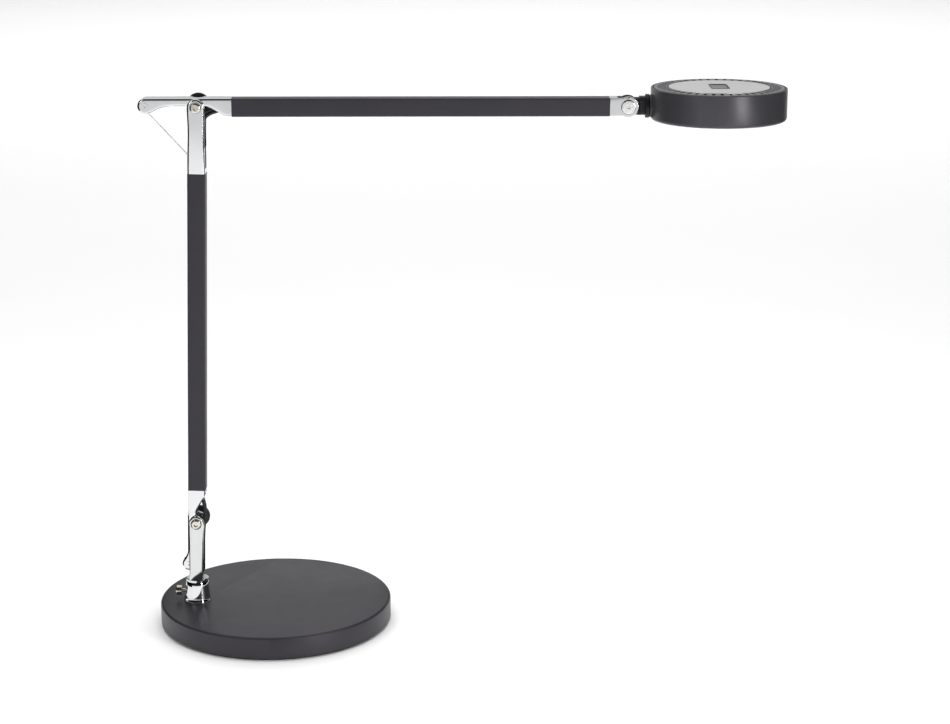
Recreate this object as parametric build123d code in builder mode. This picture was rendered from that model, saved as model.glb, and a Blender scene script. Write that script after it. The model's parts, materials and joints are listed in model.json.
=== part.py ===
"""Balance-arm desk lamp: weighted round base, swivel post, two spring-balanced
square arms and a flat round LED head. Millimetres, +Z up, origin at the centre
of the base's underside, arms in a plane parallel to XZ, head towards +X."""

import math
import os

from build123d import *

# ------------------------------------------------------------------ driving dimensions
# base
BASE_R = 105.5
BASE_H = 21.5
PAD_T = 1.5
COVER_WALL = 1.6
COVER_TOP = 1.8
PLATE_T = 1.6
WEIGHT_R = 103.4
WEIGHT_Z0 = 6.2
INLET_Z = 11.2
# swivel post
POST_X = -71.2
ARM_Y = -6.7
COLLAR_TOP = 40.0
FLANGE_TOP = 43.0
STEM_R = 7.0
THUMB_Z = 30.2
# arms
SHOULDER_X = -69.6
SHOULDER_Z = 97.3
ARM_LEAN = 1.672
ARM_LOWER = 378.9
ARM_UPPER = 375.15
TUBE = 16.0
TUBE_WALL = 1.8
TUBE_DROP = 0.3
TUBE_CORNER = 1.6
TUBE_START = 30.9
LOWER_TUBE_END = 320.5
UPPER_TUBE_END = 358.85
# pivots
FITTING_W = 15.8
WALL = 2.0
EAR_GAP = 17.0
EAR_T = 2.4
FORK_W = EAR_GAP + 2 * EAR_T
BOLT_R = 2.5
RUN = 0.05
SLEEVE_R = 3.9
KNOB_R = 10.1
EDGE = 1.5
FORK_EDGE = 1.8
FITTING_EDGE = 2.0
# counterbalance wire
ROLLER = (-43.7, 1.1)
LOWER_ROLLER = (-39.5, 6.9)
WIRE_RUN_R = 3.5
WIRE_ANGLE = -47.73
ANCHOR = -50.6
OUTER_LEN = 43.8
CORE_LEN = 43.0
CORE_REACH = 61.0
# head
HEAD_DX = 79.2
HEAD_R = 59.3
HEAD_UP = 16.6
HEAD_DOWN = 11.9
PLATE_R = 44.0
VENTS = 44

# ------------------------------------------------------------------ derived places
LEAN = math.radians(ARM_LEAN)
SL, CL = math.sin(LEAN), math.cos(LEAN)
ELBOW_X = SHOULDER_X + ARM_LOWER * SL
ELBOW_Z = SHOULDER_Z + ARM_LOWER * CL
TILT_X = ELBOW_X + ARM_UPPER
TILT_Z = ELBOW_Z
HEAD_X = TILT_X + HEAD_DX
HEAD_TOP = TILT_Z + HEAD_UP
HEAD_BOT = TILT_Z - HEAD_DOWN
FW = FORK_W / 2
CAM = (0, -1, 0)

# side planes: local x runs along the arm from the pivot, local y towards the web side
POST_SIDE = Plane(origin=(SHOULDER_X, ARM_Y, SHOULDER_Z), x_dir=(0, 0, 1), z_dir=CAM)
LOWER_SIDE = Plane(origin=(SHOULDER_X, ARM_Y, SHOULDER_Z), x_dir=(SL, 0, CL), z_dir=CAM)
ELBOW_SIDE = Plane(origin=(ELBOW_X, ARM_Y, ELBOW_Z), x_dir=(SL, 0, CL), z_dir=CAM)
UPPER_SIDE = Plane(origin=(ELBOW_X, ARM_Y, ELBOW_Z), x_dir=(1, 0, 0), z_dir=CAM)
TILT_SIDE = Plane(origin=(TILT_X, ARM_Y, TILT_Z), x_dir=(1, 0, 0), z_dir=CAM)
# cross planes: local z runs along the arm
LOWER_CROSS = Plane(origin=(SHOULDER_X, ARM_Y, SHOULDER_Z), x_dir=(0, 1, 0), z_dir=(SL, 0, CL))
UPPER_CROSS = Plane(origin=(ELBOW_X, ARM_Y, ELBOW_Z), x_dir=(0, 1, 0), z_dir=(1, 0, 0))
TILT_CROSS = Plane(origin=(TILT_X, ARM_Y, TILT_Z), x_dir=(0, 1, 0), z_dir=(1, 0, 0))
# front planes: local y runs up the post or arm, local x is +Y
POST_FRONT = Plane(origin=(POST_X, ARM_Y, SHOULDER_Z), x_dir=(0, 1, 0), z_dir=(1, 0, 0))
ELBOW_FRONT = Plane(origin=(ELBOW_X, ARM_Y, ELBOW_Z), x_dir=(0, 1, 0), z_dir=(CL, 0, -SL))
POST_AXIS = Axis((POST_X, ARM_Y, 0), (0, 0, 1))
HEAD_AXIS = Axis((HEAD_X, ARM_Y, 0), (0, 0, 1))
BOTTOM = (Align.CENTER, Align.CENTER, Align.MIN)

os.makedirs("parts", exist_ok=True)


def rod(plane, radius, start, length, mode=Mode.ADD):
    """A round bar along the plane's normal, inside the open part."""
    with Locations(plane.offset(start).location):
        Cylinder(radius, length, align=BOTTOM, mode=mode)


def outline_edges(body, foot_z):
    """The long outer edges of a fork's two broad sides, without the edge at its foot and without smooth joins."""
    return body.edges().filter_by(
        lambda e: abs(e.center().Y - ARM_Y) > 7.4 and e.bounding_box().size.Z > 1.0 and e.bounding_box().size.Y < 4.0 and e.center().Z > foot_z + 1
    )


# ================================================================== base
with BuildPart() as base_pad:
    rod(Plane.XY, 102.6, 0, PAD_T)
base_pad.part.label = "base_pad"

with BuildPart() as base_plate:
    rod(Plane.XY, 103.5, PAD_T, PLATE_T)
    with PolarLocations(80, 4, start_angle=45):
        with Locations((0, 0, PAD_T)):
            Cylinder(2.2, PLATE_T, align=BOTTOM, mode=Mode.SUBTRACT)
            Cylinder(4.2, 1.0, align=BOTTOM, mode=Mode.SUBTRACT)
base_plate.part.label = "base_plate"

with BuildPart() as base_cover:
    rod(Plane.XY, BASE_R, PAD_T, BASE_H - PAD_T)
    fillet(base_cover.edges().filter_by(GeomType.CIRCLE).group_by(Axis.Z)[-1], 2.2)
    chamfer(base_cover.edges().filter_by(GeomType.CIRCLE).group_by(Axis.Z)[0], 1.0)
    rod(Plane.XY, BASE_R - COVER_WALL, PAD_T, BASE_H - COVER_TOP - PAD_T, Mode.SUBTRACT)
    rod(Plane((POST_X, ARM_Y, 0)), 9.6, 10, 20, Mode.SUBTRACT)
    rod(Plane(origin=(0, 95, INLET_Z), x_dir=(1, 0, 0), z_dir=(0, 1, 0)), 4.1, 0, 20, Mode.SUBTRACT)
base_cover.part.label = "base_cover"

with BuildPart() as base_weight:
    rod(Plane.XY, WEIGHT_R, WEIGHT_Z0, BASE_H - COVER_TOP - WEIGHT_Z0)
    with PolarLocations(80, 4, start_angle=45):
        with Locations((0, 0, PAD_T + PLATE_T)):
            Cylinder(6, WEIGHT_Z0 - PAD_T - PLATE_T, align=BOTTOM)
    with PolarLocations(80, 4, start_angle=45):
        Cylinder(2.0, 14.0, align=BOTTOM, mode=Mode.SUBTRACT)
    rod(Plane((POST_X, ARM_Y, 0)), 9.6, 3, 20, Mode.SUBTRACT)
    rod(Plane((POST_X, ARM_Y, 0)), 15.0, WEIGHT_Z0, 6.6, Mode.SUBTRACT)
    with Locations((0, 90, WEIGHT_Z0)):
        Box(16, 44, 11.0, align=BOTTOM, mode=Mode.SUBTRACT)
base_weight.part.label = "base_weight"

with BuildPart() as base_screws:
    with PolarLocations(80, 4, start_angle=45):
        with Locations((0, 0, PAD_T)):
            Cylinder(4.0, 0.95, align=BOTTOM)
        with Locations((0, 0, PAD_T + 0.95)):
            Cylinder(1.95, 9.5, align=BOTTOM)
base_screws.part.label = "base_screws"

with BuildPart() as power_inlet:
    inlet = Plane(origin=(0, 0, INLET_Z), x_dir=(1, 0, 0), z_dir=(0, 1, 0))
    with Locations(inlet.offset(91.0).location):
        Box(11.0, 9.4, 12.7, align=BOTTOM)
    rod(inlet, 4.0, 103.7, 1.6)
    rod(inlet, 2.9, 96.3, 9.5, Mode.SUBTRACT)
    rod(inlet, 1.0, 94.0, 4.0, Mode.SUBTRACT)
power_inlet.part.label = "power_inlet"

with BuildPart() as inlet_pin:
    rod(inlet, 1.0, 94.0, 10.3)
    fillet(inlet_pin.edges().filter_by(GeomType.CIRCLE).sort_by(Axis.Y)[-1], 0.5)
inlet_pin.part.label = "inlet_pin"

with BuildPart() as base_lead:
    with BuildLine() as base_path:
        FilletPolyline((0, 90.9, INLET_Z), (0, 84.0, INLET_Z), (-3.0, 76.0, 4.7), (-34.0, 38.0, 4.7), (POST_X - 2.0, 2.0, 4.7), radius=6.0)
    with BuildSketch(Plane(origin=base_path.line @ 0, z_dir=base_path.line % 0)):
        Circle(1.4)
    sweep(path=base_path.line)
base_lead.part.label = "base_lead"

# ================================================================== collar
with BuildPart() as post_collar:
    with BuildSketch(Plane(origin=(POST_X, ARM_Y, 0), x_dir=(1, 0, 0), z_dir=CAM)):
        with BuildLine():
            Polyline((8.2, 9.0), (9.5, 9.0), (9.5, BASE_H), (12.65, BASE_H), (12.65, 22.5), (12.3, 23.1), (10.35, 39.0), (9.9, COLLAR_TOP), (8.2, COLLAR_TOP), close=True)
        make_face()
    revolve(axis=POST_AXIS)
    rod(Plane(origin=(POST_X, ARM_Y, THUMB_Z), x_dir=(0, 1, 0), z_dir=(-1, 0, 0)), 1.6, 6, 10, Mode.SUBTRACT)
post_collar.part.label = "post_collar"

with BuildPart() as swivel_bush:
    rod(Plane((POST_X, ARM_Y, 0)), 8.2, 9.0, COLLAR_TOP - 9.0)
    rod(Plane((POST_X, ARM_Y, 0)), STEM_R + RUN, 9.0, COLLAR_TOP - 9.0, Mode.SUBTRACT)
    rod(Plane(origin=(POST_X, ARM_Y, THUMB_Z), x_dir=(0, 1, 0), z_dir=(-1, 0, 0)), 1.6, 4, 10, Mode.SUBTRACT)
swivel_bush.part.label = "swivel_bush"

with BuildPart() as collar_nut:
    with BuildSketch(Plane((POST_X, ARM_Y, 9.6))):
        RegularPolygon(12.4, 6, major_radius=False)
        Circle(9.56, mode=Mode.SUBTRACT)
    extrude(amount=3.2)
collar_nut.part.label = "collar_nut"

with BuildPart() as collar_thumbscrew:
    thumb = Plane(origin=(POST_X, ARM_Y, THUMB_Z), x_dir=(0, 1, 0), z_dir=(-1, 0, 0))
    rod(thumb, 1.55, 7.2, 7.5)
    rod(thumb, 4.5, 14.5, 5.2)
    chamfer(collar_thumbscrew.edges().filter_by(GeomType.CIRCLE).sort_by(Axis.X)[0], 0.6)
collar_thumbscrew.part.label = "collar_thumbscrew"

# ================================================================== swivel post
with BuildPart() as swivel_post:
    # forked body, its sides bevelled before the slot is cut
    with BuildSketch(POST_SIDE):
        with BuildLine():
            Polyline((-54.3, -4.7), (-20.0, -5.6), (-3.0, -6.9), (0, -7.0), (0, 7.0), (-3.0, 6.9), (-20.0, 7.1), (-54.3, 7.9), close=True)
        make_face()
        Circle(7.0)
    extrude(amount=FW, both=True)
    with BuildSketch(POST_FRONT):
        with BuildLine():
            f1 = Line((-9.3, -54.3), (9.3, -54.3))
            f2 = TangentArc(f1 @ 1, (FW, -3), tangent=(0.0623, 0.9981), tangent_from_first=True)
            f3 = Polyline(f2 @ 1, (FW, 8), (-FW, 8), (-FW, -3))
            TangentArc(f3 @ 1, f1 @ 0, tangent=(0, -1))
        make_face()
    extrude(amount=30, both=True, mode=Mode.INTERSECT)
    fillet(outline_edges(swivel_post, -54.3 + SHOULDER_Z), EDGE)
    with BuildSketch(POST_SIDE):
        with Locations((-47.3, 0)):
            Rectangle(70, 40, align=(Align.MIN, Align.CENTER))
    extrude(amount=EAR_GAP / 2, both=True, mode=Mode.SUBTRACT)
    # ring flange and swivel stem
    with BuildSketch(Plane(origin=(POST_X, ARM_Y, 0), x_dir=(1, 0, 0), z_dir=CAM)):
        with BuildLine():
            Polyline((2.2, 6.9), (STEM_R - 0.4, 6.9), (STEM_R, 7.3), (STEM_R, 7.7), (5.2, 7.7), (5.2, 8.8), (STEM_R, 8.8), (STEM_R, 40.1), (9.7, 40.1), (10.1, 40.5), (10.1, 42.4), (9.6, FLANGE_TOP), (2.2, FLANGE_TOP), close=True)
        make_face()
    revolve(axis=POST_AXIS)
    rod(Plane((POST_X, ARM_Y, 0)), 2.2, 5, 50, Mode.SUBTRACT)
    rod(POST_SIDE, BOLT_R, -30, 60, Mode.SUBTRACT)
swivel_post.part.label = "swivel_post"

with BuildPart() as post_retainer:
    rod(Plane((POST_X, ARM_Y, 0)), 8.8, 7.75, 1.0)
    rod(Plane((POST_X, ARM_Y, 0)), 5.25, 7.75, 1.0, Mode.SUBTRACT)
post_retainer.part.label = "post_retainer"

# ================================================================== pivot hardware
def pivot_bolt(plane, fork_half, head_r, head_t, shank_r, tail, socket, dome=0.85):
    """Button-headed pivot bolt: head on the camera side, thread on the far side."""
    with BuildPart() as bolt:
        rod(plane, shank_r, -fork_half - tail, 2 * fork_half + tail)
        rod(plane, head_r, fork_half, head_t)
        fillet(bolt.edges().filter_by(GeomType.CIRCLE).sort_by(Axis.Y)[0], head_t * dome)
        with BuildSketch(plane.offset(fork_half + head_t)):
            RegularPolygon(socket, 6)
        extrude(amount=-head_t * 0.7, mode=Mode.SUBTRACT)
    return bolt.part


def friction_washers(plane, gap_half, outer, inner, thick):
    """A pair of friction washers against the inner faces of a fork's ears."""
    with BuildPart() as pair:
        rod(plane, outer, gap_half - thick, thick)
        rod(plane, outer, -gap_half, thick)
        rod(plane, inner, -gap_half - 1, 2 * gap_half + 2, Mode.SUBTRACT)
    return pair.part


def cap(x, dome=16.0):
    return dome - math.sqrt(dome * dome - x * x)


def clamp_knob(plane, fork_half):
    """Domed knob on the far side, with a blind threaded bore."""
    with BuildPart() as knob:
        with BuildSketch(Plane(origin=plane.origin, x_dir=(1, 0, 0), z_dir=(0, 0, 1))):
            with BuildLine():
                y0 = fork_half + 0.35
                a = Polyline((0, y0), (7.6, y0), (7.6, y0 + 0.9), (9.3, y0 + 1.1))
                b = ThreePointArc(a @ 1, (9.85, y0 + 1.4), (KNOB_R, y0 + 1.9))
                c = Line(b @ 1, (KNOB_R, y0 + 4.4))
                d = ThreePointArc(c @ 1, (9.5, y0 + 5.85), (7.9, y0 + 9.0 - cap(7.9)))
                e = ThreePointArc(d @ 1, (4.0, y0 + 9.0 - cap(4.0)), (0, y0 + 9.0))
                Line(e @ 1, a @ 0)
            make_face()
        revolve(axis=Axis(plane.origin, (0, 1, 0)))
        rod(plane, BOLT_R + RUN, -fork_half - 7.0, 7.0, Mode.SUBTRACT)
    return knob.part


with BuildPart() as shoulder_bolt:
    add(pivot_bolt(POST_SIDE, FW, 4.95, 2.3, BOLT_R, 6.3, 2.1))
shoulder_bolt.part.label = "shoulder_bolt"
with BuildPart() as elbow_bolt:
    add(pivot_bolt(ELBOW_SIDE, FW, 4.95, 2.3, BOLT_R, 6.3, 2.1))
elbow_bolt.part.label = "elbow_bolt"
with BuildPart() as shoulder_washers:
    add(friction_washers(POST_SIDE, EAR_GAP / 2, 6.3, BOLT_R + RUN, 0.5))
shoulder_washers.part.label = "shoulder_washers"
with BuildPart() as elbow_washers:
    add(friction_washers(ELBOW_SIDE, EAR_GAP / 2, 6.3, BOLT_R + RUN, 0.5))
elbow_washers.part.label = "elbow_washers"
with BuildPart() as shoulder_knob:
    add(clamp_knob(POST_SIDE, FW))
shoulder_knob.part.label = "shoulder_knob"
with BuildPart() as elbow_knob:
    add(clamp_knob(ELBOW_SIDE, FW))
elbow_knob.part.label = "elbow_knob"


# ================================================================== arm fittings
def close_fitting(fitting_part, plane, cross, roller):
    """What both cast arm fittings share: spigot, pivot sleeve and the two bores."""
    with BuildPart() as fitting:
        add(fitting_part)
        with BuildSketch(cross.offset(TUBE_START)):
            RectangleRounded(12.3, 12.3, 0.6)
            RectangleRounded(9.4, 9.4, 0.5, mode=Mode.SUBTRACT)
        extrude(amount=18)
        with BuildSketch(cross.offset(TUBE_START - 5)):
            RectangleRounded(9.4, 9.4, 0.5)
        extrude(amount=10, mode=Mode.SUBTRACT)
        rod(plane, SLEEVE_R, -FITTING_W / 2 + WALL, FITTING_W - 2 * WALL)
        rod(plane, BOLT_R + RUN, -30, 60, Mode.SUBTRACT)
        with Locations(Plane(origin=plane.from_local_coords((roller[0], roller[1], 0)), x_dir=plane.x_dir, z_dir=plane.z_dir).offset(-30).location):
            Cylinder(1.5, 60, align=BOTTOM, mode=Mode.SUBTRACT)
    return fitting.part


def roller_part(plane, centre):
    """Grooved nylon roller that the counterbalance wire runs round."""
    axis_plane = Plane(origin=plane.from_local_coords((centre[0], centre[1], 0)), x_dir=plane.x_dir, z_dir=plane.z_dir)
    with BuildPart() as roller:
        rod(axis_plane, 4.0, -3.0, 6.0)
        rod(axis_plane, 4.0, -0.9, 1.8, Mode.SUBTRACT)
        rod(axis_plane, 2.85, -0.9, 1.8)
        rod(axis_plane, 1.55, -3.0, 6.0, Mode.SUBTRACT)
    return roller.part


def roller_axle(plane, centre):
    """Hollow-ended rivet that carries the roller across the lever's two cheeks."""
    axis_plane = Plane(origin=plane.from_local_coords((centre[0], centre[1], 0)), x_dir=plane.x_dir, z_dir=plane.z_dir)
    with BuildPart() as axle:
        rod(axis_plane, 1.5, -FITTING_W / 2 - 0.1, FITTING_W + 0.2)
        rod(axis_plane, 2.6, FITTING_W / 2, 0.5)
        rod(axis_plane, 2.6, -FITTING_W / 2 - 0.5, 0.5)
        rod(axis_plane, 0.9, FITTING_W / 2 - 0.6, 1.5, Mode.SUBTRACT)
    return axle.part


def broad_edges(body, cross):
    """The outline edges of both broad sides, without the ones at the tube's end."""
    faces = body.faces().sort_by(Axis.Y)
    edges = faces[0].edges() + faces[-1].edges()
    return edges.filter_by(lambda e: cross.to_local_coords(e.center()).Z < TUBE_START - 0.2)


# upper arm: inverted channel, its lever reaching back past the elbow
with BuildPart() as upper_blank:
    with BuildSketch(UPPER_SIDE):
        with BuildLine():
            p1 = Line((TUBE_START, -7.75), (TUBE_START, 8.05))
            p2 = Line(p1 @ 1, (ROLLER[0], 8.0))
            p3 = ThreePointArc(p2 @ 1, (ROLLER[0] - 6.9, ROLLER[1]), (ROLLER[0] + 1.32, ROLLER[1] - 6.77))
            p4 = Spline(p3 @ 1, (-37.2, -3.7), (-30.5, -0.7), (-22.2, 0.8), (-12.0, 1.0), tangents=[(0.98, 0.19), (1, 0)])
            p5 = Line(p4 @ 1, (-7.884, 1.0))
            p6 = ThreePointArc(p5 @ 1, (-6.857, 0.593), (-6.387, -0.405))
            p7 = ThreePointArc(p6 @ 1, (0, -6.4), (6.359, -0.729))
            p8 = ThreePointArc(p7 @ 1, (6.851, 0.220), (7.849, 0.6))
            p9 = Spline(p8 @ 1, (13.0, -0.8), (18.0, -3.5), (22.6, -6.3), (27.2, -7.75), tangents=[(1, 0), (1, 0)])
            Line(p9 @ 1, p1 @ 0)
        make_face()
    extrude(amount=FITTING_W / 2, both=True)
    fillet(broad_edges(upper_blank, UPPER_CROSS), FITTING_EDGE)
    with BuildSketch(UPPER_SIDE):
        with BuildLine():
            q1 = Line((TUBE_START - 2.4, -14), (TUBE_START - 2.4, 6.05))
            q2 = Line(q1 @ 1, (ROLLER[0], 6.0))
            q3 = ThreePointArc(q2 @ 1, (ROLLER[0] - 3.465, ROLLER[1] + 3.465), (ROLLER[0] - 4.9, ROLLER[1]))
            q4 = Line(q3 @ 1, (ROLLER[0] - 4.3, -7.5))
            q5 = Line(q4 @ 1, (ROLLER[0] - 4.3, -14))
            Line(q5 @ 1, q1 @ 0)
        make_face()
    extrude(amount=FITTING_W / 2 - WALL, both=True, mode=Mode.SUBTRACT)

with BuildPart() as upper_arm_fitting:
    add(close_fitting(upper_blank.part, UPPER_SIDE, UPPER_CROSS, ROLLER))
upper_arm_fitting.part.label = "upper_arm_fitting"

# lower arm: the same channel turned upright, its lever reaching down with a kicked-out tip
with BuildPart() as lower_blank:
    with BuildSketch(LOWER_SIDE):
        with BuildLine():
            r1 = Line((TUBE_START, -7.75), (TUBE_START, 8.05))
            r2 = Line(r1 @ 1, (-26.0, 8.0))
            r3 = Spline(r2 @ 1, (-31.5, 9.2), (-36.8, 12.35), tangents=[(-1, 0), (-0.86, 0.5)])
            r4 = ThreePointArc(r3 @ 1, (-45.3, 8.3), (-40.6, 1.0))
            r5 = Spline(r4 @ 1, (-33.0, 1.3), (-22.2, 1.0), (-12.0, 1.0), tangents=[(0.98, 0.05), (1, 0)])
            r6 = Line(r5 @ 1, (-7.884, 1.0))
            r7 = ThreePointArc(r6 @ 1, (-6.857, 0.593), (-6.387, -0.405))
            r8 = ThreePointArc(r7 @ 1, (0, -6.4), (6.359, -0.729))
            r9 = ThreePointArc(r8 @ 1, (6.851, 0.220), (7.849, 0.6))
            r10 = Spline(r9 @ 1, (13.0, -0.8), (18.0, -3.5), (22.6, -6.3), (27.2, -7.75), tangents=[(1, 0), (1, 0)])
            Line(r10 @ 1, r1 @ 0)
        make_face()
    extrude(amount=FITTING_W / 2, both=True)
    fillet(broad_edges(lower_blank, LOWER_CROSS), FITTING_EDGE)
    with BuildSketch(LOWER_SIDE):
        with BuildLine():
            s1 = Line((TUBE_START - 2.4, -14), (TUBE_START - 2.4, 6.05))
            s2 = Line(s1 @ 1, (-25.5, 6.0))
            s3 = Line(s2 @ 1, (-36.4, 10.9))
            s4 = ThreePointArc(s3 @ 1, (-41.4, 10.9), (-43.6, 6.9))
            s5 = Polyline(s4 @ 1, (-43.6, 6.3), (-49.0, 4.0), (-49.0, -14))
            Line(s5 @ 1, s1 @ 0)
        make_face()
    extrude(amount=FITTING_W / 2 - WALL, both=True, mode=Mode.SUBTRACT)

with BuildPart() as lower_arm_fitting:
    add(close_fitting(lower_blank.part, LOWER_SIDE, LOWER_CROSS, LOWER_ROLLER))
lower_arm_fitting.part.label = "lower_arm_fitting"

with BuildPart() as upper_roller:
    add(roller_part(UPPER_SIDE, ROLLER))
upper_roller.part.label = "upper_roller"
with BuildPart() as lower_roller:
    add(roller_part(LOWER_SIDE, LOWER_ROLLER))
lower_roller.part.label = "lower_roller"
with BuildPart() as upper_roller_axle:
    add(roller_axle(UPPER_SIDE, ROLLER))
upper_roller_axle.part.label = "upper_roller_axle"
with BuildPart() as lower_roller_axle:
    add(roller_axle(LOWER_SIDE, LOWER_ROLLER))
lower_roller_axle.part.label = "lower_roller_axle"

# ================================================================== arm tubes
with BuildPart() as lower_tube:
    with BuildSketch(LOWER_CROSS.offset(TUBE_START)):
        with Locations((0, -TUBE_DROP)):
            RectangleRounded(TUBE, TUBE, TUBE_CORNER)
        RectangleRounded(TUBE - 2 * TUBE_WALL, TUBE - 2 * TUBE_WALL, 0.5, mode=Mode.SUBTRACT)
    extrude(amount=LOWER_TUBE_END - TUBE_START)
lower_tube.part.label = "lower_tube"

with BuildPart() as upper_tube:
    with BuildSketch(UPPER_CROSS.offset(TUBE_START)):
        with Locations((0, -TUBE_DROP)):
            RectangleRounded(TUBE, TUBE, TUBE_CORNER)
        RectangleRounded(TUBE - 2 * TUBE_WALL, TUBE - 2 * TUBE_WALL, 0.5, mode=Mode.SUBTRACT)
    extrude(amount=UPPER_TUBE_END - TUBE_START)
upper_tube.part.label = "upper_tube"


# ================================================================== springs, wires and leads in the tubes
def balance_spring(plane, first, last):
    """Close-wound extension spring, drawn as a ribbed hollow barrel with end caps."""
    ribs = 36
    step = (last - first) / ribs
    points = [(first, 1.9)]
    for i in range(ribs):
        points += [(first + step * (i + 0.12), 5.5), (first + step * (i + 0.5), 6.05), (first + step * (i + 0.88), 5.5)]
    points += [(last, 1.9)]
    with BuildPart() as spring:
        with BuildSketch(plane):
            with BuildLine():
                Polyline(*points, close=True)
            make_face()
        revolve(axis=Axis(plane.from_local_coords((0, 1.9, 0)), plane.x_dir))
    return spring.part


with BuildPart() as lower_spring:
    add(balance_spring(LOWER_SIDE, 60, 196))
lower_spring.part.label = "lower_spring"
with BuildPart() as upper_spring:
    add(balance_spring(UPPER_SIDE, 60, 180))
upper_spring.part.label = "upper_spring"


def inner_wire(plane, centre, start_angle):
    """Wire from the spring's end cap over the pivot sleeve and part way round the roller."""
    run = centre[1] + WIRE_RUN_R
    with BuildPart() as wire:
        with BuildLine() as path:
            w1 = Line(plane.from_local_coords((59.9, run - 0.7, 0)), plane.from_local_coords((centre[0], run, 0)))
            ang = math.radians(start_angle)
            mid = math.radians((90 + start_angle) / 2)
            ThreePointArc(
                w1 @ 1,
                plane.from_local_coords((centre[0] + WIRE_RUN_R * math.cos(mid), centre[1] + WIRE_RUN_R * math.sin(mid), 0)),
                plane.from_local_coords((centre[0] + WIRE_RUN_R * math.cos(ang), centre[1] + WIRE_RUN_R * math.sin(ang), 0)),
            )
        with BuildSketch(Plane(origin=path.line @ 0, z_dir=path.line % 0)):
            Circle(0.35)
        sweep(path=path.line)
    return wire.part


with BuildPart() as upper_inner_wire:
    add(inner_wire(UPPER_SIDE, ROLLER, 175))
upper_inner_wire.part.label = "upper_inner_wire"

with BuildPart() as lower_inner_wire:
    with BuildLine() as lower_wire_path:
        FilletPolyline(
            LOWER_SIDE.from_local_coords((59.9, 3.9, 0)),
            LOWER_SIDE.from_local_coords((-22.5, 4.45, 0)),
            LOWER_SIDE.from_local_coords((-38.4, 10.15, 0)),
            radius=12,
        )
    with BuildSketch(Plane(origin=lower_wire_path.line @ 0, z_dir=lower_wire_path.line % 0)):
        Circle(0.35)
    sweep(path=lower_wire_path.line)
lower_inner_wire.part.label = "lower_inner_wire"

# short wire from the lower roller to the bottom of the post's slot
with BuildPart() as shoulder_wire:
    with BuildLine() as shoulder_wire_path:
        Line(LOWER_SIDE.from_local_coords((-42.9, 5.3, 0)), LOWER_SIDE.from_local_coords((-46.7, 4.4, 0)))
    with BuildSketch(Plane(origin=shoulder_wire_path.line @ 0, z_dir=shoulder_wire_path.line % 0)):
        Circle(0.35)
    sweep(path=shoulder_wire_path.line)
shoulder_wire.part.label = "shoulder_wire"


def lead_part(points, radius, bend):
    """Round sheathed lead along a filleted route."""
    with BuildPart() as lead:
        with BuildLine() as path:
            FilletPolyline(*points, radius=bend)
        with BuildSketch(Plane(origin=path.line @ 0, z_dir=path.line % 0)):
            Circle(radius)
        sweep(path=path.line)
    return lead.part


def on(plane, points):
    return [plane.from_local_coords((x, y, h)) for x, y, h in points]


# lead across the shoulder, from the stem's bore up into the lower channel
with BuildPart() as shoulder_lead:
    add(lead_part(on(POST_SIDE, [(-47.1, 1.6, 0), (-38.0, -2.6, 0), (-14.0, -3.2, 0), (0.0, -6.5, 0), (15.0, -7.4, 0), (30.0, -3.0, 0), (36.0, -3.0, 0)]), 1.9, [5, 8, 8, 8, 8]))
shoulder_lead.part.label = "shoulder_lead"

with BuildPart() as lower_lead:
    rod(LOWER_CROSS, 1.4, 198.5, 126.0)
lower_lead.part.label = "lower_lead"

# lead across the elbow, from the fork's slot round the pivot into the upper channel
with BuildPart() as elbow_lead:
    # flat sheathed pair, its broad side towards the fork's cheek
    with BuildLine() as elbow_route:
        FilletPolyline(*on(UPPER_SIDE, [(1.6, -33.0, -2.8), (2.2, -17.0, -2.8), (7.6, -6.4, -2.8), (18.0, -2.6, -2.8), (30.4, -0.6, -2.8)]), radius=6.5)
    with BuildSketch(Plane(origin=elbow_route.line @ 0, x_dir=(1, 0, 0), z_dir=elbow_route.line % 0)):
        Ellipse(3.1, 1.7)
    sweep(path=elbow_route.line)
elbow_lead.part.label = "elbow_lead"

with BuildPart() as upper_lead:
    rod(UPPER_CROSS, 1.4, 182.5, 172.0)
upper_lead.part.label = "upper_lead"

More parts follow.
